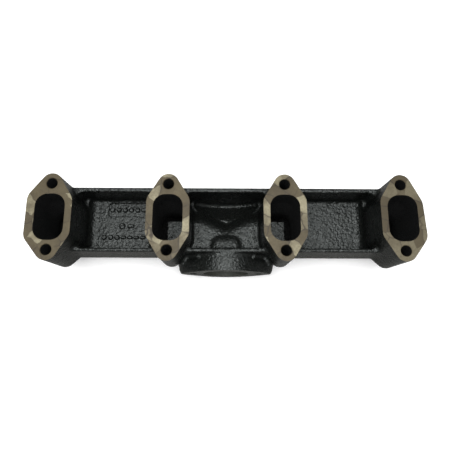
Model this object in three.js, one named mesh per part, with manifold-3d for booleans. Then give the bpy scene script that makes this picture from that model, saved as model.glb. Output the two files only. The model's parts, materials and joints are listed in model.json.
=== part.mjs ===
// Log-type exhaust manifold for a four-cylinder engine: one iron casting.
//
// The casting lies on its back. Millimetres, +Z up.
//   +X  along the manifold, from port 1 to port 4
//   +Y  across it, away from the outlet
//   +Z  out of the four machined port faces
// Z = 0 is the back of the log. X = 0 lies between ports 2 and 3, over the outlet.
//
// The whole casting is made once, as one solid with its passages cut out of it. It is then cut
// along flat planes into its named regions, so that neighbouring regions meet face to face.

import * as THREE from 'three';
import { mergeVertices } from 'three/addons/utils/BufferGeometryUtils.js';
import Module from 'manifold-3d';

const wasm = await Module();
wasm.setup();

// ---- Driving dimensions -----------------------------------------------------------------------

const PORT_PITCH = 120.65;
const PORT_FACE_Z = 105;
const PORT_AXIS_Y = 2.8;              // the ports' centre line, with the bounding box centred on Y = 0
const PORT_WIDTH = 30.8;
const PORT_HEIGHT = 48.6;
const PORT_CORNER = 12.5;
const PORT_OFFSET_Y = -0.7;
const FLANGE_THICKNESS = 12;

const BOLT_SPACING = 69.4;
const BOLT_HOLE_R = 5.6;
const BOLT_LUG_R = 11;
const BOLT_ACCESS_R = 9.5;            // room behind each boss for the bolt's head
const SIDE_CORNER = { x: 10.3, y: 15.5, r: 12 };
const END_CORNER = { x: 9.1, y: 14.5, r: 15 };

const LOG_WALL_Z = 41;                // front wall of the log, at the bottom of the bays
const LOG_TOP_Y = 39;                 // from the ports' centre line, as all Y sizes below
const LOG_BOTTOM_Y = -31.4;
const LOG_HALF_LENGTH = 205;
const LOG_BACK_R = 28;
const LOG_END_R = 40;                 // as seen along Y
const LOG_CORNER_R = 30;              // as seen along Z
const WALL = 5.5;

const RIB_FRONT_Z = 76;
const TOP_RIB_T = 3.6;
const BOTTOM_RIB_T = 3.2;
const LOWER_BOSS_BACK_Z = { end: 42, inner: 48 };
const THROAT_HALF_HEIGHT = 18;        // the ports narrow here, to clear the bolt heads behind them
const THROAT_Z = 52;
const THROAT_START_Z = 78;

const POCKET_DEPTH = 16;              // the bay over the outlet is deeper than the log's front wall
const POCKET_HALF_WIDTH = 38;
const POCKET_BOTTOM_Y = 6;

const OUTLET_Z = 38;
const OUTLET_R = 38;
const OUTLET_BORE_R = 25;
const OUTLET_LUG_X = 37.3;
const OUTLET_LUG_R = 12;
const OUTLET_HOLE_R = 4.25;
const OUTLET_FACE_Y = -51.3;
const OUTLET_THICKNESS = 13.4;
const ELBOW_END_Y = -14;
const BRANCH_R = 20;                  // the two branches that run from ports 2 and 3 to the outlet
const BRANCH_FROM = { x: 46, y: 12 };
const BRANCH_TO = { x: 6, y: -20 };

const NECK_STEP = 2;

const BOSS_SPLIT = 2.2;               // iron between a port's end and the boss regions
const MARK_BASE = 0.5;
const MARK_HEIGHT = 1;
const MARK_RECESS = 1;
const GAP = 0.3;
const MARK_ROWS = [
  { name: 'mark_plate', x: -115, y: 23, width: 44, height: 15, recessed: true, dots: 5, dashes: 1 },
  { name: 'mark_pair', x: -116, y: 3.4, width: 20, height: 12, recessed: false, dots: 1, dashes: 1 },
  { name: 'mark_row', x: -119, y: -10, width: 52, height: 9, recessed: false, dots: 3, dashes: 4 },
];

const PORT_X = [-1.5, -0.5, 0.5, 1.5].map((step) => step * PORT_PITCH);
const PORT_HALF_CELL = 24.5;          // half the width of a port's own stretch of the casting
const FAR = 300;
const SLIVER_VOLUME = 0.01;           // rounding leaves empty slivers where a cut meets a flat face

const castIron = new THREE.MeshStandardMaterial({ color: 0x24262a, roughness: 0.55, metalness: 0.3 });
const machined = new THREE.MeshStandardMaterial({ color: 0x958b76, roughness: 0.5, metalness: 0.7 });

// ---- Solids -----------------------------------------------------------------------------------

function solid(geometry) {
  geometry.deleteAttribute('normal');
  geometry.deleteAttribute('uv');
  const merged = mergeVertices(geometry, 1e-4);
  return new wasm.Manifold(new wasm.Mesh({
    numProp: 3,
    vertProperties: new Float32Array(merged.attributes.position.array),
    triVerts: new Uint32Array(merged.index.array),
  }));
}

function toGeometry(manifold) {
  const mesh = manifold.getMesh();
  const geometry = new THREE.BufferGeometry();
  geometry.setAttribute('position', new THREE.BufferAttribute(new Float32Array(mesh.vertProperties), 3));
  geometry.setIndex(new THREE.BufferAttribute(new Uint32Array(mesh.triVerts), 1));
  geometry.computeVertexNormals();
  return geometry;
}

function union(solids) {
  return solids.reduce((all, one) => all.add(one));
}

// A box between two corners. Y is measured from the ports' centre line.
function block(x0, x1, y0, y1, z0, z1) {
  const geometry = new THREE.BoxGeometry(x1 - x0, y1 - y0, z1 - z0);
  geometry.translate((x0 + x1) / 2, (y0 + y1) / 2 + PORT_AXIS_Y, (z0 + z1) / 2);
  return solid(geometry);
}

// The outline of a belt stretched round circles, which are given anticlockwise.
function beltShape(circles) {
  const normals = circles.map((from, i) => {
    const to = circles[(i + 1) % circles.length];
    const run = Math.hypot(to.x - from.x, to.y - from.y);
    return Math.atan2(to.y - from.y, to.x - from.x) - Math.PI / 2 + Math.asin((from.r - to.r) / run);
  });
  const shape = new THREE.Shape();
  circles.forEach((circle, i) => {
    const start = normals[(i + circles.length - 1) % circles.length];
    shape.absarc(circle.x, circle.y, circle.r, start, normals[i], false);
  });
  shape.closePath();
  return shape;
}

// A shape drawn in X and Y (about the ports' centre line), extruded from z0 to z1.
function alongZ(shape, z0, z1, curveSegments = 3) {
  const geometry = new THREE.ExtrudeGeometry(shape, { depth: z1 - z0, bevelEnabled: false, curveSegments });
  geometry.translate(0, PORT_AXIS_Y, z0);
  return solid(geometry);
}

// A shape drawn in X and Z, extruded from y0 to y1.
function alongY(shape, y0, y1, curveSegments = 4) {
  const geometry = new THREE.ExtrudeGeometry(shape, { depth: y1 - y0, bevelEnabled: false, curveSegments });
  geometry.rotateX(Math.PI / 2);
  geometry.translate(0, y1 + PORT_AXIS_Y, 0);
  return solid(geometry);
}

// A shape drawn in Y and Z, extruded from x0 to x1.
function alongX(shape, x0, x1, curveSegments = 5) {
  const geometry = new THREE.ExtrudeGeometry(shape, { depth: x1 - x0, bevelEnabled: false, curveSegments });
  geometry.rotateX(Math.PI / 2);
  geometry.rotateZ(Math.PI / 2);
  geometry.translate(x0, PORT_AXIS_Y, 0);
  return solid(geometry);
}

function circleShape(x, y, r) {
  const shape = new THREE.Shape();
  shape.absarc(x, y, r, 0, 2 * Math.PI, false);
  return shape;
}

function roundedRectangle(x0, x1, y0, y1, r) {
  return beltShape([
    { x: x1 - r, y: y0 + r, r }, { x: x1 - r, y: y1 - r, r },
    { x: x0 + r, y: y1 - r, r }, { x: x0 + r, y: y0 + r, r },
  ]);
}

// ---- Outer forms ------------------------------------------------------------------------------

// Outline of one port flange: a lug at each bolt and a shoulder at each side of the port.
// The two end flanges are fuller on the side that faces away from the other ports.
function flangeShape(x, outward) {
  const corner = (side) => (side === outward ? END_CORNER : SIDE_CORNER);
  const shoulder = (side, up) => {
    const { x: cx, y: cy, r } = corner(side);
    return { x: x + side * cx, y: up * cy, r };
  };
  return beltShape([
    { x, y: -BOLT_SPACING / 2, r: BOLT_LUG_R }, shoulder(1, -1), shoulder(1, 1),
    { x, y: BOLT_SPACING / 2, r: BOLT_LUG_R }, shoulder(-1, 1), shoulder(-1, -1),
  ]);
}

function outwardSide(i) {
  if (i === 0) return -1;
  return i === PORT_X.length - 1 ? 1 : 0;
}

function portColumn(i) {
  const column = alongZ(flangeShape(PORT_X[i], outwardSide(i)), LOG_WALL_Z - WALL, PORT_FACE_Z);
  const bossBack = outwardSide(i) === 0 ? LOWER_BOSS_BACK_Z.inner : LOWER_BOSS_BACK_Z.end;
  return column.subtract(block(-FAR, FAR, -FAR, LOG_BOTTOM_Y, 0, bossBack));
}

// The log is a D-section tube. Its back corners and its two ends are rounded.
function logForm(inset) {
  const backR = LOG_BACK_R - inset;
  const endR = LOG_END_R - inset;
  const top = LOG_WALL_Z - inset;
  const section = new THREE.Shape();
  section.moveTo(LOG_BOTTOM_Y + inset, top);
  section.lineTo(LOG_BOTTOM_Y + inset, inset + backR);
  section.absarc(LOG_BOTTOM_Y + inset + backR, inset + backR, backR, Math.PI, 1.5 * Math.PI, false);
  section.absarc(LOG_TOP_Y - inset - backR, inset + backR, backR, 1.5 * Math.PI, 2 * Math.PI, false);
  section.lineTo(LOG_TOP_Y - inset, top);
  section.closePath();
  const end = LOG_HALF_LENGTH - inset;
  const plan = new THREE.Shape();
  plan.moveTo(-end, FAR);
  plan.lineTo(-end, inset + endR);
  plan.absarc(-end + endR, inset + endR, endR, Math.PI, 1.5 * Math.PI, false);
  plan.absarc(end - endR, inset + endR, endR, 1.5 * Math.PI, 2 * Math.PI, false);
  plan.lineTo(end, FAR);
  plan.closePath();
  const footprint = roundedRectangle(-end, end, LOG_BOTTOM_Y + inset, LOG_TOP_Y - inset, LOG_CORNER_R - inset);
  return alongX(section, -end, end)
    .intersect(alongY(plan, LOG_BOTTOM_Y - 1, LOG_TOP_Y + 1))
    .intersect(alongZ(footprint, -1, LOG_WALL_Z + 1, 5));
}

function ribs() {
  const first = PORT_X[0];
  const last = PORT_X[PORT_X.length - 1];
  const back = LOG_WALL_Z - WALL;
  return [
    block(first, last, LOG_TOP_Y - TOP_RIB_T, LOG_TOP_Y, back, RIB_FRONT_Z),
    block(first, last, LOG_BOTTOM_Y, LOG_BOTTOM_Y + BOTTOM_RIB_T, back, RIB_FRONT_Z),
  ];
}

// The outlet's two-bolt flange is a diamond: a round boss with a lug at each side.
function outletFlange() {
  const boss = { x: 0, y: OUTLET_Z, r: OUTLET_R };
  const lug = (side) => ({ x: side * OUTLET_LUG_X, y: OUTLET_Z, r: OUTLET_LUG_R });
  const shape = beltShape([lug(1), boss, lug(-1), boss]);
  return alongY(shape, OUTLET_FACE_Y, OUTLET_FACE_Y + OUTLET_THICKNESS);
}

function outletNeck() {
  const neck = circleShape(0, OUTLET_Z, OUTLET_R - NECK_STEP);
  return alongY(neck, OUTLET_FACE_Y + OUTLET_THICKNESS - 1, LOG_BOTTOM_Y + BOTTOM_RIB_T, 8);
}

// A round bar that runs level at the log's front wall, mirrored to both sides of the outlet.
function branches(r) {
  const run = new THREE.Vector3(BRANCH_TO.x - BRANCH_FROM.x, BRANCH_TO.y - BRANCH_FROM.y, 0);
  return [1, -1].map((side) => {
    const geometry = new THREE.CylinderGeometry(r, r, run.length(), 20);
    geometry.rotateZ(side * (Math.atan2(run.y, run.x) - Math.PI / 2));
    geometry.translate(
      side * (BRANCH_FROM.x + BRANCH_TO.x) / 2,
      (BRANCH_FROM.y + BRANCH_TO.y) / 2 + PORT_AXIS_Y,
      LOG_WALL_Z,
    );
    return solid(geometry);
  });
}

// The elbow that takes the gas from the log to the outlet: a pipe with a round end.
function elbow(r, y0) {
  const pipe = alongY(circleShape(0, OUTLET_Z, r), y0, ELBOW_END_Y, 8);
  const end = new THREE.SphereGeometry(r, 24, 12);
  end.translate(0, ELBOW_END_Y + PORT_AXIS_Y, OUTLET_Z);
  return pipe.add(solid(end));
}

function outerForm() {
  const inside = block(-FAR, FAR, LOG_BOTTOM_Y, LOG_TOP_Y, 0, PORT_FACE_Z);
  const collector = union([...branches(BRANCH_R), elbow(OUTLET_BORE_R + WALL, LOG_BOTTOM_Y)]);
  return union([
    logForm(0),
    ...PORT_X.map((_, i) => portColumn(i)),
    ...ribs(),
    collector.intersect(inside),
    outletFlange(),
    outletNeck(),
  ]);
}

// ---- Hollows ----------------------------------------------------------------------------------

function portPassage(x) {
  const half = PORT_WIDTH / 2;
  const low = PORT_OFFSET_Y - PORT_HEIGHT / 2;
  const shape = roundedRectangle(x - half, x + half, low, low + PORT_HEIGHT, PORT_CORNER);
  const back = LOG_WALL_Z - 2 * WALL;
  return alongZ(shape, back, PORT_FACE_Z + 1).intersect(throat(x, back));
}

// Limits the height of a port's passage on its way down to the log.
function throat(x, back) {
  const shape = new THREE.Shape([
    [-THROAT_HALF_HEIGHT, back - 1], [THROAT_HALF_HEIGHT, back - 1], [THROAT_HALF_HEIGHT, THROAT_Z],
    [PORT_HEIGHT / 2, THROAT_START_Z], [PORT_HEIGHT / 2, PORT_FACE_Z + 2],
    [-PORT_HEIGHT / 2, PORT_FACE_Z + 2], [-PORT_HEIGHT / 2, THROAT_START_Z], [-THROAT_HALF_HEIGHT, THROAT_Z],
  ].map(([y, z]) => new THREE.Vector2(y + PORT_OFFSET_Y, z)));
  return alongX(shape, x - PORT_WIDTH, x + PORT_WIDTH);
}

function boltAxes() {
  return PORT_X.flatMap((x, i) => [1, -1].map((up) => {
    const lowerBack = outwardSide(i) === 0 ? LOWER_BOSS_BACK_Z.inner : LOWER_BOSS_BACK_Z.end;
    return { x, y: up * BOLT_SPACING / 2, back: up > 0 ? LOG_WALL_Z - WALL : lowerBack };
  }));
}

// Each bolt goes in from behind, so there is a flute for its head in the side of the log.
function boltCuts() {
  return boltAxes().flatMap(({ x, y, back }) => [
    alongZ(circleShape(x, y, BOLT_HOLE_R), back - 1, PORT_FACE_Z + 1, 8),
    alongZ(circleShape(x, y, BOLT_ACCESS_R), -1, back, 8),
  ]);
}

function pocketArc(inset) {
  const r = (POCKET_HALF_WIDTH ** 2 + POCKET_DEPTH ** 2) / (2 * POCKET_DEPTH);
  return circleShape(0, LOG_WALL_Z - POCKET_DEPTH + r, r + inset);
}

function pocket() {
  const low = POCKET_BOTTOM_Y;
  const high = LOG_TOP_Y - TOP_RIB_T;
  const reach = block(-POCKET_HALF_WIDTH, POCKET_HALF_WIDTH, low, high, 0, PORT_FACE_Z);
  return alongY(pocketArc(0), low, high, 24).intersect(reach);
}

// The log's inside keeps its wall thickness round the bolt flutes and behind the pocket.
function logHollow() {
  const keepClear = [
    ...boltAxes().map(({ x, y }) => alongZ(circleShape(x, y, BOLT_ACCESS_R + WALL), 0, LOG_WALL_Z, 6)),
    alongY(pocketArc(WALL), POCKET_BOTTOM_Y - WALL, LOG_TOP_Y, 24),
  ];
  return union([logForm(WALL).subtract(union(keepClear)), elbow(OUTLET_BORE_R, OUTLET_FACE_Y - 1)]);
}

function outletHoles() {
  return [1, -1].map((side) => {
    const hole = circleShape(side * OUTLET_LUG_X, OUTLET_Z, OUTLET_HOLE_R);
    return alongY(hole, OUTLET_FACE_Y - 1, OUTLET_FACE_Y + OUTLET_THICKNESS + 1, 6);
  });
}

function markRecess() {
  const { x, y, width, height } = MARK_ROWS[0];
  return block(x - width / 2 - GAP, x + width / 2 + GAP, y - height / 2 - GAP, y + height / 2 + GAP,
    LOG_WALL_Z - MARK_RECESS, LOG_WALL_Z + 1);
}

function casting() {
  const branchHollows = union(branches(BRANCH_R - WALL - 1));
  return outerForm()
    .subtract(pocket())
    .subtract(union([...PORT_X.map(portPassage), logHollow(), branchHollows]))
    .subtract(union([...boltCuts(), ...outletHoles(), markRecess()]));
}

// ---- Regions ----------------------------------------------------------------------------------

const manifold = new THREE.Group();

function addNode(name, body, material) {
  const mesh = new THREE.Mesh(toGeometry(body), material);
  mesh.name = name;
  manifold.add(mesh);
}

// Cuts a region out of what is left of the casting and makes it a node.
let remaining = casting();

function takeRegion(name, region, material = castIron) {
  const pieces = remaining.intersect(region).decompose();
  const real = pieces.filter((piece) => piece.volume() > SLIVER_VOLUME);
  addNode(name, union(real), material);
  remaining = remaining.subtract(region);
}

function portRegions() {
  const upperSplit = PORT_OFFSET_Y + PORT_HEIGHT / 2 + BOSS_SPLIT;
  const lowerSplit = PORT_OFFSET_Y - PORT_HEIGHT / 2 - BOSS_SPLIT;
  const flangeBack = PORT_FACE_Z - FLANGE_THICKNESS;
  PORT_X.forEach((x, i) => {
    const x0 = x - PORT_HALF_CELL;
    const x1 = x + PORT_HALF_CELL;
    const port = i + 1;
    takeRegion(`port_flange_${port}`, block(x0, x1, -FAR, FAR, flangeBack, FAR), machined);
    takeRegion(`upper_boss_${port}`, block(x0, x1, upperSplit, FAR, LOG_WALL_Z, flangeBack));
    takeRegion(`lower_boss_${port}`, block(x0, x1, -FAR, lowerSplit, LOG_WALL_Z, flangeBack));
    takeRegion(`runner_${port}`, block(x0, x1, lowerSplit, upperSplit, LOG_WALL_Z, flangeBack));
    takeRegion(`log_branch_${port}`, block(x0, x1, -FAR, FAR, -1, LOG_WALL_Z));
  });
}

function bayRegions() {
  PORT_X.slice(1).forEach((next, i) => {
    const x0 = PORT_X[i] + PORT_HALF_CELL;
    const x1 = next - PORT_HALF_CELL;
    const bay = `${i + 1}${i + 2}`;
    const topSplit = LOG_TOP_Y - TOP_RIB_T;
    const bottomSplit = LOG_BOTTOM_Y + BOTTOM_RIB_T;
    takeRegion(`top_rib_${bay}`, block(x0, x1, topSplit, FAR, LOG_WALL_Z, FAR));
    takeRegion(`bottom_rib_${bay}`, block(x0, x1, -FAR, bottomSplit, LOG_WALL_Z, FAR));
    takeRegion(`log_bay_${bay}`, block(x0, x1, -FAR, FAR, -1, LOG_WALL_Z));
  });
}

// Rows of plain raised dots and dashes on the log's front wall, each on its own thin plate.
function markRows() {
  MARK_ROWS.forEach(({ name, x, y, width, height, recessed, dots, dashes }) => {
    const floor = LOG_WALL_Z - (recessed ? MARK_RECESS : 0);
    const plate = block(x - width / 2, x + width / 2, y - height / 2, y + height / 2, floor, floor + MARK_BASE);
    const pitch = width / (dots + dashes);
    const raised = Array.from({ length: dots + dashes }, (_, k) => {
      const markX = x - width / 2 + (k + 0.5) * pitch;
      const top = floor + MARK_BASE + MARK_HEIGHT;
      if (k < dots) return alongZ(circleShape(markX, y, 0.34 * Math.min(pitch, height)), floor, top);
      return block(markX - 0.3 * pitch, markX + 0.3 * pitch, y - 0.14 * height, y + 0.14 * height, floor, top);
    });
    addNode(name, plate.add(union(raised)), castIron);
  });
}

const outletBack = OUTLET_FACE_Y + OUTLET_THICKNESS;
const outletHalf = OUTLET_LUG_X + OUTLET_LUG_R;
const elbowHalf = PORT_PITCH / 2 - PORT_HALF_CELL;
takeRegion('outlet_flange', block(-outletHalf, outletHalf, -FAR, outletBack, -1, RIB_FRONT_Z));
takeRegion('outlet_neck', block(-OUTLET_R, OUTLET_R, outletBack, LOG_BOTTOM_Y, -1, RIB_FRONT_Z));
takeRegion('outlet_elbow', block(-elbowHalf, elbowHalf, LOG_BOTTOM_Y + BOTTOM_RIB_T, LOG_TOP_Y - TOP_RIB_T,
  LOG_WALL_Z, RIB_FRONT_Z));
portRegions();
bayRegions();
markRows();

export default manifold;
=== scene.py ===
# %% [markdown]
# # A cast-iron exhaust manifold
#
# The real object is one casting: four short runners stand on a hollow log, ribs join the
# runners, and one outlet flange faces sideways. A foundry makes it in a mould with a sand core
# for the gas passages. A machine shop then mills the port faces and drills the bolt holes.
# This script works in the same order: outer pattern, core, milling and drilling. The finished
# skin is then cut into the named regions of the CAD frame.

# %% Load the frame
import json
from math import radians

import bpy
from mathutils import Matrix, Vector


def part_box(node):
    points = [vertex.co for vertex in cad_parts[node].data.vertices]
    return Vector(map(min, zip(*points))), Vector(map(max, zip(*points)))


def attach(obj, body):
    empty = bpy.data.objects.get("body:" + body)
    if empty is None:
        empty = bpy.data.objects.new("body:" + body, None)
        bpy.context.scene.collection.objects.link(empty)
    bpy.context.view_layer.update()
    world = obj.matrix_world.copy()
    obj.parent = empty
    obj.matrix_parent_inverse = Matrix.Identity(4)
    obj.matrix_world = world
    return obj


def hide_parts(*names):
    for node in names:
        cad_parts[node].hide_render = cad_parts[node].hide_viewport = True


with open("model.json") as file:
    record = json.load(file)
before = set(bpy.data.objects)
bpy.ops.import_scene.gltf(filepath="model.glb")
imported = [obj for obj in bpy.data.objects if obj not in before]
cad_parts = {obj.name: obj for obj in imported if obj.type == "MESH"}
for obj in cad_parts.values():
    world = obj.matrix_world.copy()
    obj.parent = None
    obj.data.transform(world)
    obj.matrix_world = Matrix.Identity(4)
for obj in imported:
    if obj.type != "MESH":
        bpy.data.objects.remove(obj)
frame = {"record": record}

bpy.ops.object.select_all(action="DESELECT")
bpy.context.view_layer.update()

# %% [markdown]
# ## Sizes
#
# The ports' positions come from the frame's mounts and boxes, so the skin fits the CAD solids.
# The other sizes are the ones that a pattern maker would read off the drawing.

# %% Main sizes, in metres
MM = 0.001
MOUNTS = {mount["name"]: mount for mount in frame["record"]["mounts"]}
PORTS = (1, 2, 3, 4)
BAYS = ((1, 2), (2, 3), (3, 4))
PORT_X = {port: MOUNTS[f"port_face_{port}"]["pos_m"][0] for port in PORTS}
FACE_Z = MOUNTS["port_face_1"]["pos_m"][2]
OUTLET_FACE_Y = MOUNTS["outlet_face"]["pos_m"][1]
OUTLET_Z = MOUNTS["outlet_face"]["pos_m"][2]

BOLT_HOLE_R = 5.6 * MM
BOLT_LUG_R = 11 * MM
flange_low, flange_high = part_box("port_flange_1")
BOLT_Y = (flange_high[1] - flange_low[1]) / 2 - BOLT_LUG_R
AXIS_Y = (flange_high[1] + flange_low[1]) / 2
log_low, log_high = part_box("log_bay_12")
LOG_WALL_Z = log_high[2]
top_rib_low, top_rib_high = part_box("top_rib_12")
bottom_rib_low, bottom_rib_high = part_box("bottom_rib_12")
RIB_FRONT_Z = top_rib_high[2]
print("port axes at x =", PORT_X, "bolts at y = +/-", round(BOLT_Y, 4), "about", round(AXIS_Y, 4))

# %% [markdown]
# ## Finishes
#
# The casting has four finishes. Outside it has the grain of the sand mould under black paint.
# Inside the gas passages the paint doesn't reach, so the iron keeps its dull dark casting
# scale. The drilled holes get the same near-black finish, which there is painted shade in place
# of bare drilled iron. The outlet's bore is bare iron, and the milled faces are bare metal with
# a patchy film of preservative. The grain is a node group, because three of the finishes share
# it, each with its own values.

# %% Node helpers
def add(tree, kind, **values):
    """Adds a node and sets its properties and inputs. A space in an input's name is given as _."""
    node = tree.nodes.new(kind)
    for key, value in values.items():
        socket = node.inputs.get(key.replace("_", " "))
        if socket is not None:
            socket.default_value = value
        else:
            setattr(node, key, value)
    return node


def wire(tree, *pairs):
    for source, target in pairs:
        tree.links.new(source, target)


def blend_colours(tree, factor, dark, light):
    """A Mix node for colours. Each colour is a tuple or another node's output."""
    mix = add(tree, "ShaderNodeMix", data_type="RGBA", clamp_factor=True)
    inputs = [socket for socket in mix.inputs if socket.type == "RGBA"]
    for socket, colour in zip(inputs, (dark, light)):
        if isinstance(colour, tuple):
            socket.default_value = (*colour, 1)
        else:
            wire(tree, (colour, socket))
    wire(tree, (factor, mix.inputs["Factor"]))
    return next(socket for socket in mix.outputs if socket.type == "RGBA")


def map_range(tree, value, low, high, to_low, to_high):
    node = add(tree, "ShaderNodeMapRange", From_Min=low, From_Max=high,
               To_Min=to_low, To_Max=to_high)
    wire(tree, (value, node.inputs["Value"]))
    return node.outputs["Result"]


# %% The sand's grain, as a node group
PATCH_SCALE = 60.0              # patches of gloss for each metre
PITS_PER_GRAIN = 0.55           # pits are wider apart than grains


def make_sand_grain():
    group = bpy.data.node_groups.new("sand_grain", "ShaderNodeTree")
    group.interface.new_socket("Vector", in_out="INPUT", socket_type="NodeSocketVector")
    for name, value in (("Grains", 800.0), ("Pits", 0.5)):
        socket = group.interface.new_socket(name, in_out="INPUT", socket_type="NodeSocketFloat")
        socket.default_value = value
    for name in ("Height", "Patches"):
        group.interface.new_socket(name, in_out="OUTPUT", socket_type="NodeSocketFloat")
    start = add(group, "NodeGroupInput")
    end = add(group, "NodeGroupOutput")
    grain = add(group, "ShaderNodeTexNoise", Detail=2.0, Roughness=0.6)
    pits = add(group, "ShaderNodeTexVoronoi", feature="SMOOTH_F1", Smoothness=0.4)
    patches = add(group, "ShaderNodeTexNoise", Scale=PATCH_SCALE, Detail=3.0)
    pit_scale = add(group, "ShaderNodeMath", operation="MULTIPLY")
    pit_scale.inputs[1].default_value = PITS_PER_GRAIN
    weighed = add(group, "ShaderNodeMath", operation="MULTIPLY")
    total = add(group, "ShaderNodeMath", operation="ADD")
    wire(group, *[(start.outputs["Vector"], node.inputs["Vector"]) for node in (grain, pits, patches)])
    wire(group,
         (start.outputs["Grains"], grain.inputs["Scale"]),
         (start.outputs["Grains"], pit_scale.inputs[0]), (pit_scale.outputs[0], pits.inputs["Scale"]),
         (pits.outputs["Distance"], weighed.inputs[0]), (start.outputs["Pits"], weighed.inputs[1]),
         (grain.outputs[0], total.inputs[0]), (weighed.outputs[0], total.inputs[1]),
         (total.outputs[0], end.inputs["Height"]), (patches.outputs[0], end.inputs["Patches"]))
    return group


SAND_GRAIN = make_sand_grain()


def cast_finish(name, grains, pits, depth, dark, light, rough, specular):
    """A cast surface: the grain is in its bump and, more faintly, in its colour and gloss."""
    material = bpy.data.materials.new(name)
    material.use_nodes = True
    tree = material.node_tree
    shader = tree.nodes["Principled BSDF"]
    shader.inputs["Specular IOR Level"].default_value = specular
    shader.inputs["Specular Tint"].default_value = (0.94, 1.0, 0.98, 1)
    place = add(tree, "ShaderNodeTexCoord")
    grain = add(tree, "ShaderNodeGroup", node_tree=SAND_GRAIN)
    grain.inputs["Grains"].default_value = grains
    grain.inputs["Pits"].default_value = pits
    bump = add(tree, "ShaderNodeBump", Strength=1.0, Distance=depth)
    shade = map_range(tree, grain.outputs["Height"], 0.3, 1.0, 0.0, 1.0)
    colour = blend_colours(tree, shade, dark, light)
    gloss = map_range(tree, grain.outputs["Patches"], 0.3, 0.7, rough[0], rough[1])
    wire(tree, (place.outputs["Object"], grain.inputs["Vector"]),
         (grain.outputs["Height"], bump.inputs["Height"]),
         (colour, shader.inputs["Base Color"]), (gloss, shader.inputs["Roughness"]),
         (bump.outputs["Normal"], shader.inputs["Normal"]))
    return material


PAINTED = cast_finish("painted_cast_iron", grains=520, pits=0.6, depth=0.95 * MM,
                      dark=(0.0018, 0.0022, 0.0022), light=(0.006, 0.0068, 0.006),
                      rough=(0.22, 0.34), specular=0.4)
# Dull casting scale in the passages. The same finish is painted shade in the drilled holes.
SCALE_AND_HOLE_SHADE = cast_finish("casting_scale", grains=900, pits=0.8, depth=0.6 * MM,
                    dark=(0.004, 0.004, 0.005), light=(0.010, 0.010, 0.010),
                    rough=(0.8, 0.95), specular=0.15)
BORED = cast_finish("bored_iron", grains=500, pits=0.2, depth=0.1 * MM,
                    dark=(0.036, 0.038, 0.033), light=(0.07, 0.07, 0.06),
                    rough=(0.45, 0.6), specular=0.3)
print("cast finishes:", PAINTED.name, SCALE_AND_HOLE_SHADE.name, BORED.name)

# %% [markdown]
# ## The milled faces
#
# A face mill leaves flat bare iron. The oily film on it dries in patches with straight edges,
# some pale and some brown, with thin dark lines where two patches meet. Voronoi cells give
# such patches, and each cell's random colour chooses which of them are pale. Towards the last
# port the film is browner and more even.

# %% Milled iron
TAUPE = (0.080, 0.065, 0.036)
BROWN = (0.053, 0.042, 0.024)
CREAM = (0.235, 0.212, 0.140)
CRACK = (0.03, 0.024, 0.017)

PATCHES_PER_METRE = 62.0
WANDER = 0.012                  # how far the patches' edges stray from straight lines, in metres
PALE_FROM = 0.60                # patches whose random value is above this are pale
SEAM_HALF_WIDTH = (0.015, 0.045)    # where a seam begins and ends to fade, in cells
STAINED_X = (PORT_X[3] + 0.05, PORT_X[4] - 0.03)


def milled_finish(name):
    material = bpy.data.materials.new(name)
    material.use_nodes = True
    tree = material.node_tree
    shader = tree.nodes["Principled BSDF"]
    shader.inputs["Metallic"].default_value = 0.25
    shader.inputs["Specular IOR Level"].default_value = 0.3
    place = add(tree, "ShaderNodeTexCoord").outputs["Object"]
    cells = add(tree, "ShaderNodeTexVoronoi", Scale=PATCHES_PER_METRE, Randomness=1.0)
    seams = add(tree, "ShaderNodeTexVoronoi", feature="DISTANCE_TO_EDGE", Scale=PATCHES_PER_METRE)
    fine = add(tree, "ShaderNodeTexNoise", Scale=900.0, Detail=3.0)
    broad = add(tree, "ShaderNodeTexNoise", Scale=45.0, Detail=3.0)
    wire(tree, *[(place, node.inputs["Vector"]) for node in (fine, broad)])
    shift = add(tree, "ShaderNodeVectorMath", operation="MULTIPLY_ADD")
    shift.inputs[1].default_value = (WANDER, WANDER, WANDER)
    wire(tree, (broad.outputs["Color"], shift.inputs[0]), (place, shift.inputs[2]),
         (shift.outputs[0], cells.inputs["Vector"]), (shift.outputs[0], seams.inputs["Vector"]))
    split = add(tree, "ShaderNodeSeparateColor")
    wire(tree, (cells.outputs["Color"], split.inputs["Color"]))
    pale = map_range(tree, split.outputs["Red"], PALE_FROM, PALE_FROM + 0.02, 0.0, 0.85)
    worn = map_range(tree, broad.outputs[0], 0.40, 0.58, 0.35, 0.95)
    wire(tree, (worn, pale.node.inputs["To Max"]))
    cloud = map_range(tree, broad.outputs[0], 0.35, 0.65, 0.0, 1.0)
    ground = blend_colours(tree, cloud, BROWN, TAUPE)
    patched = blend_colours(tree, pale, ground, CREAM)
    seam = map_range(tree, seams.outputs["Distance"], *SEAM_HALF_WIDTH, 0.9, 0.0)
    faded = map_range(tree, broad.outputs[0], 0.42, 0.60, 0.95, 0.1)
    wire(tree, (faded, seam.node.inputs["To Min"]))
    aside = add(tree, "ShaderNodeSeparateXYZ")
    wire(tree, (place, aside.inputs["Vector"]))
    stained = map_range(tree, aside.outputs["X"], *STAINED_X, 0.0, 0.6)
    lined = blend_colours(tree, seam, blend_colours(tree, stained, patched, BROWN), CRACK)
    grit = map_range(tree, fine.outputs[0], 0.35, 0.7, 0.0, 0.35)
    colour = blend_colours(tree, grit, lined, BROWN)
    gloss = map_range(tree, fine.outputs[0], 0.3, 0.7, 0.45, 0.65)
    bump = add(tree, "ShaderNodeBump", Strength=0.25, Distance=0.1 * MM)
    wire(tree, (colour, shader.inputs["Base Color"]), (gloss, shader.inputs["Roughness"]),
         (fine.outputs[0], bump.inputs["Height"]),
         (bump.outputs["Normal"], shader.inputs["Normal"]))
    return material


MILLED = milled_finish("milled_iron")
FINISHES = (PAINTED, MILLED, SCALE_AND_HOLE_SHADE, BORED)


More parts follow.
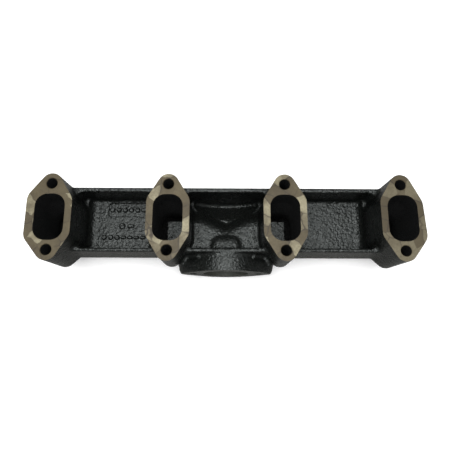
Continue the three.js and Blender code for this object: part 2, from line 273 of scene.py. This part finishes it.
def finish_all(obj, finish):
    """Gives an object the same list of finishes as the others, and one of them all over."""
    obj.data.materials.clear()
    for material in FINISHES:
        obj.data.materials.append(material)
    faces = obj.data.polygons
    faces.foreach_set("material_index", [FINISHES.index(finish)] * len(faces))
    return obj


print("milled finish:", MILLED.name)

# %% [markdown]
# ## Helpers
#
# The pattern is put together from simple solids. A convex hull round a few cylinders gives a
# flange outline with true round lugs and straight sides between them, which is how the real
# outline is drawn. Overlapping solids are joined and remeshed, and that makes one skin of them.

# %% Object helpers
def select_only(*objects):
    bpy.ops.object.select_all(action="DESELECT")
    for obj in objects:
        obj.select_set(True)
    bpy.context.view_layer.objects.active = objects[-1]


def name_active(name):
    obj = bpy.context.object
    obj.name = name
    obj.data.name = name
    return obj


def bar(start, end, radius, end_radius=None, vertices=48):
    """A round bar or a cone between two points."""
    run = Vector(end) - Vector(start)
    bpy.ops.mesh.primitive_cone_add(
        vertices=vertices, radius1=radius, radius2=radius if end_radius is None else end_radius,
        depth=run.length, location=(Vector(start) + Vector(end)) / 2,
        rotation=run.to_track_quat("Z", "Y").to_euler())
    return bpy.context.object


def ball(centre, radius):
    bpy.ops.mesh.primitive_uv_sphere_add(segments=48, ring_count=24, radius=radius, location=centre)
    return bpy.context.object


def block(low, high):
    bpy.ops.mesh.primitive_cube_add(size=1, location=[(a + b) / 2 for a, b in zip(low, high)],
                                    scale=[b - a for a, b in zip(low, high)])
    return bpy.context.object


def join(name, parts):
    """Joins meshes into one object whose origin is the frame's origin."""
    select_only(*parts)
    bpy.ops.object.transform_apply(location=True, rotation=True, scale=True)
    if len(parts) > 1:
        bpy.ops.object.join()
    obj = name_active(name)
    bpy.context.scene.cursor.location = (0, 0, 0)
    bpy.ops.object.origin_set(type="ORIGIN_CURSOR")
    return obj


def hull(name, parts):
    """The convex hull round some solids: what a band stretched round them would enclose."""
    obj = join(name, parts)
    bpy.ops.object.mode_set(mode="EDIT")
    bpy.ops.mesh.select_all(action="SELECT")
    bpy.ops.mesh.convex_hull()
    bpy.ops.object.mode_set(mode="OBJECT")
    return obj


def modify(obj, kind, **settings):
    """Adds a modifier, sets it up and applies it."""
    select_only(obj)
    modifier = obj.modifiers.new(kind.title(), kind)
    for key, value in settings.items():
        setattr(modifier, key, value)
    bpy.ops.object.modifier_apply(modifier=modifier.name)
    return obj


def boolean(obj, tool, operation="DIFFERENCE", keep_tool=False):
    modify(obj, "BOOLEAN", object=tool, operation=operation, solver="MANIFOLD")
    if not keep_tool:
        bpy.data.objects.remove(tool, do_unlink=True)
    return obj


def away(point, dx=0.0, dy=0.0, dz=0.0):
    return (point[0] + dx, point[1] + dy, point[2] + dz)


# %% [markdown]
# ## The outer pattern: port columns
#
# Each runner, its flange and its two bolt bosses share one outline, so a mould can draw them
# in one pull. The outline is a hull round two lugs and four shoulders. The end ports have
# their own shoulders on the outer side. Behind, the bosses stop short of the log's back in a
# tapered end.

# %% Port columns
SHOULDER = {"x": 10.3 * MM, "y": 15.5 * MM, "r": 12 * MM}
END_SHOULDERS = {               # the end ports' outer shoulders, above (1) and below (-1) the axis
    (1, 1): {"x": 9.1 * MM, "y": 16.5 * MM, "r": 15 * MM},
    (1, -1): {"x": 12.1 * MM, "y": 18 * MM, "r": 12 * MM},
    (4, 1): {"x": 6.6 * MM, "y": 12.5 * MM, "r": 15 * MM},
    (4, -1): {"x": 11 * MM, "y": 18 * MM, "r": 12 * MM},
}
SPARE = 8 * MM                  # stock above the port face, milled off later
COLUMN_FOOT_Z = 30 * MM
UPPER_SEAT_Z = 36 * MM          # where the bosses begin, measured from the log's back
LOWER_SEAT_Z = {1: 42 * MM, 2: 48 * MM, 3: 48 * MM, 4: 42 * MM}
BOSS_TIP = 5 * MM               # length of the bosses' tapered end
BOSS_TAPER = 3.5 * MM


def outer_side(port):
    return {1: -1, 4: 1}.get(port, 0)


def port_column(port):
    x = PORT_X[port]
    top = FACE_Z + SPARE
    posts = []
    for side in (-1, 1):
        for up in (-1, 1):
            shape = END_SHOULDERS[port, up] if side == outer_side(port) else SHOULDER
            foot = (x + side * shape["x"], AXIS_Y + up * shape["y"], COLUMN_FOOT_Z)
            posts.append(bar(foot, (foot[0], foot[1], top), shape["r"]))
    for up, seat in ((1, UPPER_SEAT_Z), (-1, LOWER_SEAT_Z[port])):
        y = AXIS_Y + up * BOLT_Y
        tip = (x, y, seat + BOSS_TIP)
        posts.append(bar(tip, (x, y, top), BOLT_LUG_R))
        posts.append(bar((x, y, seat), tip, BOLT_LUG_R - BOSS_TAPER, BOLT_LUG_R))
    return hull(f"column_{port}", posts)


columns = [port_column(port) for port in PORTS]
print("port columns:", [obj.name for obj in columns])

# %% [markdown]
# ## The outer pattern: log, ribs and corners
#
# The log is a hull round four balls and four discs: a D section with a flat front and a
# rounded back, closed by rounded ends. The ribs are plain plates. A pattern maker fills the
# corners where plates meet with wax or leather strips. Here each strip is a block with a
# round bar cut out of it.

# %% Log and ribs
LOG_BACK_R = 28 * MM
LOG_CORNER_R = 30 * MM
LOG_END_X = 205 * MM
LOG_END_DRAFT = 3 * MM          # the log is shorter at its back
LOG_SIDE_H = 6 * MM             # height of the upright sides below the front wall


def below(obj, z):
    """Keeps what is lower than a height, which leaves a flat front."""
    return boolean(obj, join("keep", [block((-0.3, -0.1, -0.01), (0.3, 0.1, z))]), "INTERSECT")


def log_pattern():
    y_low, y_high = log_low[1], log_high[1]
    parts = []
    for side in (-1, 1):
        for y in (y_low + LOG_BACK_R, y_high - LOG_BACK_R):
            back_x = side * (LOG_END_X - LOG_BACK_R - LOG_END_DRAFT)
            parts.append(ball((back_x, y, LOG_BACK_R), LOG_BACK_R))
        for y in (y_low + LOG_CORNER_R, y_high - LOG_CORNER_R):
            foot = (side * (LOG_END_X - LOG_CORNER_R), y, LOG_WALL_Z - LOG_SIDE_H)
            parts.append(bar(foot, away(foot, dz=LOG_SIDE_H), LOG_CORNER_R))
    return below(hull("log_pattern", parts), LOG_WALL_Z)


def rib_pattern(low, high):
    plates = []
    for left, right in BAYS:
        plates.append(block((PORT_X[left], low[1], LOG_WALL_Z - 5 * MM),
                            (PORT_X[right], high[1], RIB_FRONT_Z)))
    return plates


def corner_strip(corner, x_side, y_side, radius, z_low, z_high):
    """Fills the corner between a wall that faces x_side and a plate that faces y_side."""
    x0, y0 = corner
    x1, y1 = x0 + x_side * radius, y0 + y_side * radius
    back = 3 * MM
    strip = block((min(x0 - x_side * back, x1), min(y0 - y_side * back, y1), z_low),
                  (max(x0 - x_side * back, x1), max(y0 - y_side * back, y1), z_high))
    join("strip", [strip])
    cutter = join("strip_cutter", [bar((x1, y1, z_low - MM), (x1, y1, z_high + MM), radius)])
    return boolean(strip, cutter)


def foot_strip(x, x_side, radius, y_low, y_high):
    """Fills the corner between a runner's side and the log's front wall."""
    back = 4 * MM
    x1 = x + x_side * radius
    strip = block((min(x - x_side * back, x1), y_low, LOG_WALL_Z - 10 * MM),
                  (max(x - x_side * back, x1), y_high, LOG_WALL_Z + radius))
    join("foot_strip", [strip])
    axis_z = LOG_WALL_Z + radius
    cutter = join("foot_cutter", [bar((x1, y_low - MM, axis_z), (x1, y_high + MM, axis_z), radius)])
    return boolean(strip, cutter)


RUNNER_HALF = SHOULDER["x"] + SHOULDER["r"]
RIB_CORNER_R = 8 * MM
FOOT_R = 9 * MM


def bay_corners():
    strips = []
    for left, right in BAYS:
        for port, side in ((left, 1), (right, -1)):
            wall_x = PORT_X[port] + side * RUNNER_HALF
            for plate_y, up in ((top_rib_low[1], -1), (bottom_rib_high[1], 1)):
                strips.append(corner_strip((wall_x - side * 6 * MM, plate_y), side, up,
                                           RIB_CORNER_R, LOG_WALL_Z - 3 * MM, RIB_FRONT_Z))
            if (left, right) != (2, 3):     # there the branches fill the corners
                strips.append(foot_strip(wall_x, side, FOOT_R,
                                         bottom_rib_low[1] + MM, top_rib_high[1] - MM))
    return strips


log_body = log_pattern()
RIB_SPARE = 0.5 * MM            # the remesh rounds thin edges, so the ribs start a little thicker
ribs = rib_pattern(away(top_rib_low, dy=-RIB_SPARE), away(top_rib_high, dy=2 * RIB_SPARE))
ribs += rib_pattern(away(bottom_rib_low, dy=-RIB_SPARE), away(bottom_rib_high, dy=RIB_SPARE))
corners = bay_corners()
print("ribs:", len(ribs), "corner strips:", len(corners))

# %% [markdown]
# ## The outer pattern: outlet
#
# Ports 2 and 3 lead to the outlet through two short branches, which meet over the outlet in
# an elbow. Between them, above the elbow, the wall dips into a pocket. The outlet flange is
# a diamond: a round boss with a lug at each side.

# %% Outlet
OUTLET_R = 38 * MM
OUTLET_LUG_X = 37.3 * MM
OUTLET_LUG_R = 12 * MM
LUG_DRAFT = 2.2 * MM            # the lugs get fuller towards the flange's back
OUTLET_BORE_R = 25 * MM
outlet_back_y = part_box("outlet_flange")[1][1]
OUTLET_STOCK = 4 * MM           # milled off later
WEB_POSTS = ((31, 45, 10), (50, 40, 5))     # x, z and radius, in mm
BRANCH_R = 14 * MM
BRANCH_CRESTS = (               # x, y and height above the log's wall, in mm
    (31, 3, 15), (31, -24, 15), (5, -8, 13.5), (9, -26, 15), (44, 43, -25), (30, 43, -29))
CROWN = {"x": 7 * MM, "y": -19 * MM, "z": 47 * MM, "r": 14 * MM}


def outlet_pattern():
    y0, y1 = OUTLET_FACE_Y - OUTLET_STOCK, outlet_back_y
    posts = [bar((0, y0, OUTLET_Z), (0, y1, OUTLET_Z), OUTLET_R, vertices=72)]
    for side in (-1, 1):
        x = side * OUTLET_LUG_X
        posts.append(bar((x, y0, OUTLET_Z), (x, y1, OUTLET_Z), OUTLET_LUG_R))
        x = side * (OUTLET_LUG_X + LUG_DRAFT)
        posts.append(bar((x, y1 - 9 * MM, OUTLET_Z), (x, y1, OUTLET_Z), OUTLET_LUG_R + LUG_DRAFT))
    diamond = hull("outlet_diamond", posts)
    neck = bar((0, y1 - MM, OUTLET_Z), (0, bottom_rib_high[1], OUTLET_Z), OUTLET_R - 0.5 * MM,
               vertices=72)
    return [diamond, neck, web(-1), web(1)]


def web(side):
    """Fills the pocket between a lug, the neck and the nearest bolt boss with a slope."""
    y0, y1 = outlet_back_y - 4 * MM, log_low[1] + 4 * MM
    return hull("web", [bar((side * x * MM, y0, z * MM), (side * x * MM, y1, z * MM), radius * MM)
                        for x, z, radius in WEB_POSTS])


def branch(side):
    """The shoulder over one branch. A ramp leads up to it from under the top rib."""
    return hull("branch", [ball((side * x * MM, y * MM, LOG_WALL_Z + rise * MM - BRANCH_R), BRANCH_R)
                           for x, y, rise in BRANCH_CRESTS])


def elbow_pattern():
    start = (0, bottom_rib_low[1], OUTLET_Z)
    crown = [ball((side * CROWN["x"], CROWN["y"], CROWN["z"]), CROWN["r"]) for side in (-1, 1)]
    return hull("elbow", [bar(start, away(start, dy=MM), OUTLET_BORE_R - MM), *crown])


def above_rib(parts):
    """Keeps only what lies between the bottom rib and the log's far side, in front of its back."""
    low, high = (-0.1, bottom_rib_low[1], 20 * MM), (0.1, log_high[1] - 1.5 * MM, FACE_Z)
    return [boolean(part, join("keep", [block(low, high)]), "INTERSECT") for part in parts]


outlet = outlet_pattern() + above_rib([branch(-1), branch(1), elbow_pattern()])
print("outlet solids:", len(outlet))

# %% [markdown]
# ## The scoop
#
# Between ports 2 and 3 the wall isn't flat. It slopes down from the crest of the branches to
# a deep line under the top rib, and it is hollow from side to side. A tilted round bar, taken
# away from the pattern, gives exactly that.

# %% Scoop
SCOOP_DEPTH = 16 * MM
SCOOP_HALF = 48 * MM            # half width of the bar where it leaves the wall
SCOOP_REACH = 38 * MM           # half width of the scoop between the runners
SCOOP_R = (SCOOP_HALF ** 2 + SCOOP_DEPTH ** 2) / (2 * SCOOP_DEPTH)
SCOOP_BOTTOM = Vector((0, AXIS_Y + 30 * MM, LOG_WALL_Z - SCOOP_DEPTH))
SCOOP_RUN = Vector((0, -38, 33)).normalized()
SCOOP_UP = Vector((0, 33, 38)).normalized()


def scoop_tool(wall=0.0):
    """The bar, made thicker by a wall where it keeps the core away from the scoop."""
    axis = SCOOP_BOTTOM + SCOOP_UP * SCOOP_R
    start, end = axis - SCOOP_RUN * 60 * MM, axis + SCOOP_RUN * 90 * MM
    tool = join("scoop", [bar(start, end, SCOOP_R + wall, vertices=128)])
    half = SCOOP_REACH + wall
    keep = join("scoop_keep", [block((-half, AXIS_Y - 40 * MM, 0),
                                     (half, top_rib_low[1] - MM + wall, FACE_Z))])
    return boolean(tool, keep, "INTERSECT")


# %% [markdown]
# ## One skin
#
# The solids are joined and remeshed with small cells, so that they become one closed skin.
# The skin is then swelled, remeshed and shrunk back by the same amount. Swelling closes each
# inner corner and shrinking can't open it again, so every inner corner gets a fillet like
# the ones that a mould needs.

# %% Remesh and fillets
CELL = 1.0 * MM
FILLET = 2.2 * MM
SAND = (("sand_waves", 14 * MM, 0.15 * MM), ("sand_lumps", 2.5 * MM, 0.07 * MM))    # size, height
boolean(log_body, scoop_tool())
casting = join("casting", [*columns, log_body, *ribs, *corners, *outlet])
modify(casting, "REMESH", mode="VOXEL", voxel_size=CELL)
print("skin after the first remesh:", len(casting.data.polygons), "faces")
modify(casting, "DISPLACE", strength=FILLET, mid_level=0.0, direction="NORMAL")
modify(casting, "REMESH", mode="VOXEL", voxel_size=CELL)
modify(casting, "SMOOTH", factor=0.5, iterations=2)
modify(casting, "DISPLACE", strength=-FILLET, mid_level=0.0, direction="NORMAL")
modify(casting, "REMESH", mode="VOXEL", voxel_size=CELL)
modify(casting, "SMOOTH", factor=0.5, iterations=2)
for name, size, height in SAND:
    sand = bpy.data.textures.new(name, "CLOUDS")
    sand.noise_scale = size
    modify(casting, "DISPLACE", strength=height, mid_level=0.5, texture=sand,
           texture_coords="LOCAL")
finish_all(casting, PAINTED)
print("skin with fillets:", len(casting.data.polygons), "faces")

# %% [markdown]
# ## The core
#
# The gas passages are made by a sand core that stands in the mould: four stems, one for each
# port, on a body that fills the log, and a stub for the outlet. The stems narrow on their way
# down, so that iron is left round the bolt heads behind the bosses.

# %% Core
WALL = 5.5 * MM
PORT_HALF_WIDTH = 15.4 * MM
PORT_HALF_HEIGHT = 24.3 * MM
PORT_CORNER_R = 12.5 * MM
PORT_MIDDLE_Y = AXIS_Y - 0.7 * MM
THROAT_HALF_HEIGHT = 18 * MM
BOLT_ACCESS_R = 9.5 * MM
CORE_CELL = 1.3 * MM
LEDGE_X = (40 * MM, 67 * MM)
LEDGE_Y = (-30 * MM, 10.8 * MM)
LEDGE_Z = 46 * MM
LEDGE_THICKNESS = 5 * MM
THROAT_R = 13 * MM


def stem_slice(x, z_low, z_high, half_height):
    radius = min(PORT_CORNER_R, half_height)
    corners = [(x + side * (PORT_HALF_WIDTH - radius), PORT_MIDDLE_Y + up * (half_height - radius))
               for side in (-1, 1) for up in (-1, 1)]
    return [bar((*corner, z_low), (*corner, z_high), radius) for corner in corners]


def stem(x):
    mouth = stem_slice(x, 78 * MM, FACE_Z + SPARE, PORT_HALF_HEIGHT)
    upper = stem_slice(x, 78 * MM, 79 * MM, PORT_HALF_HEIGHT)
    lower = stem_slice(x, 52 * MM, 53 * MM, THROAT_HALF_HEIGHT)
    throat = stem_slice(x, 26 * MM, 53 * MM, THROAT_HALF_HEIGHT)
    return [hull("stem", mouth), hull("stem", upper + lower), hull("stem", throat)]


def log_core():
    radius = LOG_BACK_R - WALL
    y_low, y_high = log_low[1] + WALL, log_high[1] - WALL
    parts = []
    for side in (-1, 1):
        for y in (y_low + radius, y_high - radius):
            end_x = LOG_END_X - WALL - radius
            parts.append(ball((side * (end_x - LOG_END_DRAFT), y, WALL + radius), radius))
            foot = (side * (end_x - 2 * MM), y, LOG_WALL_Z - WALL - LOG_SIDE_H)
            parts.append(bar(foot, away(foot, dz=LOG_SIDE_H), radius))
    core_body = below(hull("log_core", parts), LOG_WALL_Z - WALL)
    for port in PORTS:
        for up in (-1, 1):
            foot = (PORT_X[port], AXIS_Y + up * BOLT_Y, 0)
            wall = bar(foot, away(foot, dz=60 * MM), BOLT_ACCESS_R + WALL)
            boolean(core_body, join("bolt_wall", [wall]))
    return boolean(core_body, scoop_tool(WALL))


def outlet_core():
    start = (0, OUTLET_FACE_Y - 10 * MM, OUTLET_Z)
    throat = ball((0, -22 * MM, OUTLET_Z - 4 * MM), THROAT_R)
    narrow = bar((0, -40 * MM, OUTLET_Z), (0, -34 * MM, OUTLET_Z), 19.5 * MM, vertices=72)
    mouth = bar(start, (0, -44 * MM, OUTLET_Z), OUTLET_BORE_R, vertices=72)
    return hull("outlet_core", [mouth, narrow, throat])


def ledge(side):
    """The iron that turns the gas away from the elbow. It lies deep below port 2 or 3."""
    x_low, x_high = sorted(side * x for x in LEDGE_X)
    return join("ledge", [block((x_low, LEDGE_Y[0], LEDGE_Z - LEDGE_THICKNESS),
                                (x_high, LEDGE_Y[1], LEDGE_Z))])


stems = [part for port in PORTS for part in stem(PORT_X[port])]
core = join("core", stems + [log_core(), outlet_core()])
modify(core, "REMESH", mode="VOXEL", voxel_size=CORE_CELL)
modify(core, "SMOOTH", factor=0.5, iterations=6)
finish_all(core, SCALE_AND_HOLE_SHADE)
for side in (-1, 1):
    boolean(core, finish_all(ledge(side), PAINTED))
print("core:", len(core.data.polygons), "faces")
boolean(casting, core)

# %% [markdown]
# ## Milling and drilling
#
# The stock above the port faces and in front of the outlet is milled off flat, which leaves
# crisp edges. The bolt holes are drilled through the bosses, each with a small chamfer at its
# mouth, and a cutter makes room behind each boss for the bolt's head.

# %% Mill and drill
FAR = 0.4
HOLE_CHAMFER = 0.6 * MM
TAPPED_HOLE_R = 4.25 * MM
OUTLET_BORE_DEPTH = 10 * MM
BORE_STOCK = 0.8 * MM           # what the boring bar takes off the cast bore


def machine(tools, finish=MILLED):
    """Takes tools away from the casting. The cut surface gets the tools' finish."""
    boolean(casting, finish_all(join("tool", tools), finish))


def seat_z(port, up):
    return LOG_WALL_Z - WALL if up > 0 else LOWER_SEAT_Z[port]


def drill_bolt_holes():
    drills, chamfers, cutters = [], [], []
    for port in PORTS:
        for up in (-1, 1):
            x, y, seat = PORT_X[port], AXIS_Y + up * BOLT_Y, seat_z(port, up)
            drills.append(bar((x, y, seat - MM), (x, y, FACE_Z + MM), BOLT_HOLE_R))
            chamfers.append(bar((x, y, FACE_Z - HOLE_CHAMFER), (x, y, FACE_Z + MM),
                                BOLT_HOLE_R, BOLT_HOLE_R + HOLE_CHAMFER + MM))
            cutters.append(bar((x, y, -MM), (x, y, seat), BOLT_ACCESS_R))
    # The drilled walls get the near-black scale finish as painted shade: a drill leaves bare iron, and
    # the dark colour stands in for the shade deep in the holes.
    machine(drills, SCALE_AND_HOLE_SHADE)
    machine(chamfers)
    machine(cutters, PAINTED)


def drill_outlet():
    y0, y1 = OUTLET_FACE_Y - MM, outlet_back_y + MM
    # The tapped holes get the same near-black finish, which is painted shade in place of bare drilled
    # iron.
    machine([bar((x, y0, OUTLET_Z), (x, y1, OUTLET_Z), TAPPED_HOLE_R)
             for x in (-OUTLET_LUG_X, OUTLET_LUG_X)], SCALE_AND_HOLE_SHADE)
    bore = bar((0, y0, OUTLET_Z), (0, OUTLET_FACE_Y + OUTLET_BORE_DEPTH, OUTLET_Z),
               OUTLET_BORE_R + BORE_STOCK, vertices=96)
    machine([bore], BORED)


machine([block((-FAR, -FAR, FACE_Z), (FAR, FAR, FAR))])
machine([block((-FAR, -FAR, -FAR), (FAR, OUTLET_FACE_Y, FAR))], PAINTED)
machine([block((-FAR, -FAR, -FAR), (FAR, FAR, 0))], PAINTED)
drill_bolt_holes()
drill_outlet()
print("machined casting:", len(casting.data.polygons), "faces")

# %% [markdown]
# ## Casting marks
#
# A foundry puts its marks on with small raised pieces. Here they are plain dots and dashes on
# three thin plates, so they say nothing. The first plate lies in a shallow recess with round
# corners. Each mark is a low stud with a rounded top.

# %% Marks
MARK_DRAFT = 1.3 * MM           # a stud is wider at its foot, so that it leaves the sand
RIM = 0.3 * MM                  # the studs' rounded rim
MARKS = {
    "mark_plate": {"dots": 5, "dashes": 1},
    "mark_pair": {"dots": 1, "dashes": 1},
    "mark_row": {"dots": 3, "dashes": 4},
}


def rounded_block(low, high, radius):
    """A plate with round corners."""
    posts = [bar((x, y, low[2]), (x, y, high[2]), radius, vertices=24)
             for x in (low[0] + radius, high[0] - radius) for y in (low[1] + radius, high[1] - radius)]
    return hull("plate", posts)


def recess_tool(name):
    low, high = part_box(name)
    foot, mouth, corner = 0.4 * MM, 2 * MM + MARK_DRAFT, 3 * MM
    lower = rounded_block(away(low, -foot, -foot), away(high, foot, foot), corner)
    upper = rounded_block(away(low, -mouth, -mouth, 4 * MM), away(high, mouth, mouth, 4 * MM), corner)
    return hull("recess", [lower, upper])


machine([recess_tool("mark_plate")], PAINTED)


def stud(x, y, length, radius, z_low, z_high):
    """A dot, or a dash where it has some length, with a rounded rim."""
    ends = (x - length / 2, x + length / 2) if length else (x,)
    posts = []
    for end in ends:
        rim = (end, y, z_high - RIM)
        posts.append(bar((end, y, z_low), rim, radius + MARK_DRAFT, radius, vertices=24))
        posts.append(bar(rim, (end, y, z_high), radius, radius - RIM, vertices=24))
    return hull("stud", posts)


def mark_piece(name, dots, dashes):
    low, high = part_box(name)
    width, height = high[0] - low[0], high[1] - low[1]
    y = (low[1] + high[1]) / 2
    pitch = width / (dots + dashes)
    base, top = low[2] + 0.45 * MM, high[2] + 0.6 * MM
    piece = join(f"{name}_skin", [rounded_block(low, (high[0], high[1], base), 1.5 * MM)])
    for k in range(dots + dashes):
        x = low[0] + (k + 0.5) * pitch
        if k < dots:
            raised = stud(x, y, 0, 0.28 * min(pitch, height), base - 0.2 * MM, top)
        else:
            radius = min(0.12 * height, 0.2 * pitch)
            raised = stud(x, y, 0.5 * pitch - radius, radius, base - 0.2 * MM, top)
        boolean(piece, raised, "UNION")
    return finish_all(piece, PAINTED)


marks = {name: mark_piece(name, **count) for name, count in MARKS.items()}
print("marks:", {name: len(obj.data.polygons) for name, obj in marks.items()})

# %% [markdown]
# ## Named regions
#
# The casting is one piece of iron. A library part is easier to change and to reuse when its
# regions have names, so the skin is cut along the same planes as the CAD solids. Each cut is
# a boolean with a block, which leaves closed pieces that meet face to face.

# %% Cut the skin into regions
HALF_CELL = 24.5 * MM
column_edges = {port: (PORT_X[port] - HALF_CELL, PORT_X[port] + HALF_CELL) for port in PORTS}
FLANGE_BACK_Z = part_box("port_flange_1")[0][2]
UPPER_BOSS_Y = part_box("upper_boss_2")[0][1]
LOWER_BOSS_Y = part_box("lower_boss_2")[1][1]
pieces = {}


def copy_of(source, name):
    select_only(source)
    bpy.ops.object.duplicate()
    return name_active(name)


def cut_off(source, node, low=(None, None, None), high=(None, None, None)):
    """Cuts what lies between two corners off as a node's piece. None means no limit."""
    corner = [-FAR if value is None else value for value in low]
    other = [FAR if value is None else value for value in high]
    piece = copy_of(source, f"{node}_skin")
    region = join("region", [block(corner, other)])
    boolean(piece, region, "INTERSECT", keep_tool=True)
    boolean(source, region)
    pieces[node] = piece


def cut_port(source, port):
    cut_off(source, f"port_flange_{port}", low=(None, None, FLANGE_BACK_Z))
    cut_off(source, f"upper_boss_{port}", low=(None, UPPER_BOSS_Y, LOG_WALL_Z))
    cut_off(source, f"lower_boss_{port}", low=(None, None, LOG_WALL_Z),
            high=(None, LOWER_BOSS_Y, None))
    cut_off(source, f"runner_{port}", low=(None, None, LOG_WALL_Z))
    source.name = source.data.name = f"log_branch_{port}_skin"
    pieces[f"log_branch_{port}"] = source


def cut_bay(source, bay):
    cut_off(source, f"top_rib_{bay}", low=(None, top_rib_low[1], LOG_WALL_Z))
    cut_off(source, f"bottom_rib_{bay}", low=(None, None, LOG_WALL_Z),
            high=(None, bottom_rib_high[1], None))
    if bay == "23":
        cut_off(source, "outlet_elbow", low=(None, None, LOG_WALL_Z))
    source.name = source.data.name = f"log_bay_{bay}_skin"
    pieces[f"log_bay_{bay}"] = source


flange_half = OUTLET_LUG_X + OUTLET_LUG_R
neck_half = 42 * MM
cut_off(casting, "outlet_flange", low=(-flange_half, None, None),
        high=(flange_half, outlet_back_y, None))
cut_off(casting, "outlet_neck", low=(-neck_half, outlet_back_y, None),
        high=(neck_half, log_low[1], None))

# %% Ports and bays, from left to right
for port in PORTS:
    end = FAR if port == 4 else column_edges[port][1]
    start = -FAR if port == 1 else column_edges[port][0]
    cell = copy_of(casting, "cell")
    boolean(cell, join("slab", [block((start, -FAR, -FAR), (end, FAR, FAR))]), "INTERSECT")
    cut_port(cell, port)
for left, right in BAYS:
    cell = copy_of(casting, "cell")
    span = (column_edges[left][1], column_edges[right][0])
    boolean(cell, join("slab", [block((span[0], -FAR, -FAR), (span[1], FAR, FAR))]), "INTERSECT")
    cut_bay(cell, f"{left}{right}")
bpy.data.objects.remove(casting, do_unlink=True)
for node, piece in pieces.items():
    print(node, len(piece.data.polygons), "faces")

# %% [markdown]
# ## Smoothing and places in the frame
#
# Cast surfaces are shaded smooth, and edges sharper than the angle stay crisp. Then the CAD
# region that each piece stands for is hidden. Nothing on this object moves, so all of them
# ride on the root.

# %% Smooth, ride and replace
SMOOTH_ANGLE = radians(38)
for node, piece in {**pieces, **marks}.items():
    select_only(piece)
    bpy.ops.object.shade_smooth_by_angle(angle=SMOOTH_ANGLE)
    bpy.ops.object.material_slot_remove_unused()
    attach(piece, "root")
    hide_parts(node)
print("pieces:", len(pieces) + len(marks))

# %% [markdown]
# ## Floor, light and camera
#
# The manifold lies on its back on a white table. A wide soft light hangs above it under a
# bright ceiling, and the walls are dim, so black paint shows its shape by what it reflects.
# The table is white to the camera but sends little light back up, which keeps the
# undersides dark.

# %% Floor
FLOOR_WHITE = (0.95, 0.95, 0.95)
FLOOR_BOUNCE = (0.20, 0.20, 0.19)
FLOOR_GLOW = 0.12               # keeps the table white in the object's soft shadow
bpy.ops.mesh.primitive_plane_add(size=6, location=(0, 0, 0))
floor = name_active("floor")
floor_paint = bpy.data.materials.new("white_table")
floor_paint.use_nodes = True
floor_shader = floor_paint.node_tree.nodes["Principled BSDF"]
floor_shader.inputs["Roughness"].default_value = 0.9
floor_tree = floor_paint.node_tree
seen = add(floor_tree, "ShaderNodeLightPath").outputs["Is Camera Ray"]
table = blend_colours(floor_tree, seen, FLOOR_BOUNCE, FLOOR_WHITE)
glow = map_range(floor_tree, seen, 0, 1, 0, FLOOR_GLOW)
wire(floor_tree, (table, floor_shader.inputs["Base Color"]),
     (glow, floor_shader.inputs["Emission Strength"]))
floor_shader.inputs["Emission Color"].default_value = (1, 1, 1, 1)
floor.data.materials.append(floor_paint)

# %% Light
CEILING_LIGHT = 0.85
WALL_LIGHT = 0.2
room = bpy.data.worlds.new("room")
room.use_nodes = True
direction = add(room.node_tree, "ShaderNodeTexCoord")
upward = add(room.node_tree, "ShaderNodeSeparateXYZ")
wire(room.node_tree, (direction.outputs["Generated"], upward.inputs["Vector"]))
room_light = map_range(room.node_tree, upward.outputs["Z"], 0.3, 0.95, WALL_LIGHT, CEILING_LIGHT)
sky = room.node_tree.nodes["Background"]
wire(room.node_tree, (room_light, sky.inputs["Strength"]))
sky.inputs["Color"].default_value = (1, 1, 1, 1)
bpy.context.scene.world = room


def soft_light(name, place, target, size, power):
    aim = (Vector(target) - Vector(place)).to_track_quat("-Z", "Y").to_euler()
    bpy.ops.object.light_add(type="AREA", location=place, rotation=aim)
    light = name_active(name)
    light.data.shape = "DISK"
    light.data.size = size
    light.data.energy = power
    light.visible_camera = False
    return light


soft_light("softbox", (-0.05, -0.05, 1.3), (0, 0, 0), 1.1, 21)

# %% Camera
bpy.ops.object.camera_add(location=(-0.00418, -0.10025, 0.52027),
                          rotation=(radians(12.77), radians(-0.40), radians(0.17)))
camera = name_active("camera")
camera.data.lens = 33.54
camera.data.sensor_width = 36
bpy.context.scene.camera = camera
bpy.context.scene.view_settings.view_transform = "Standard"
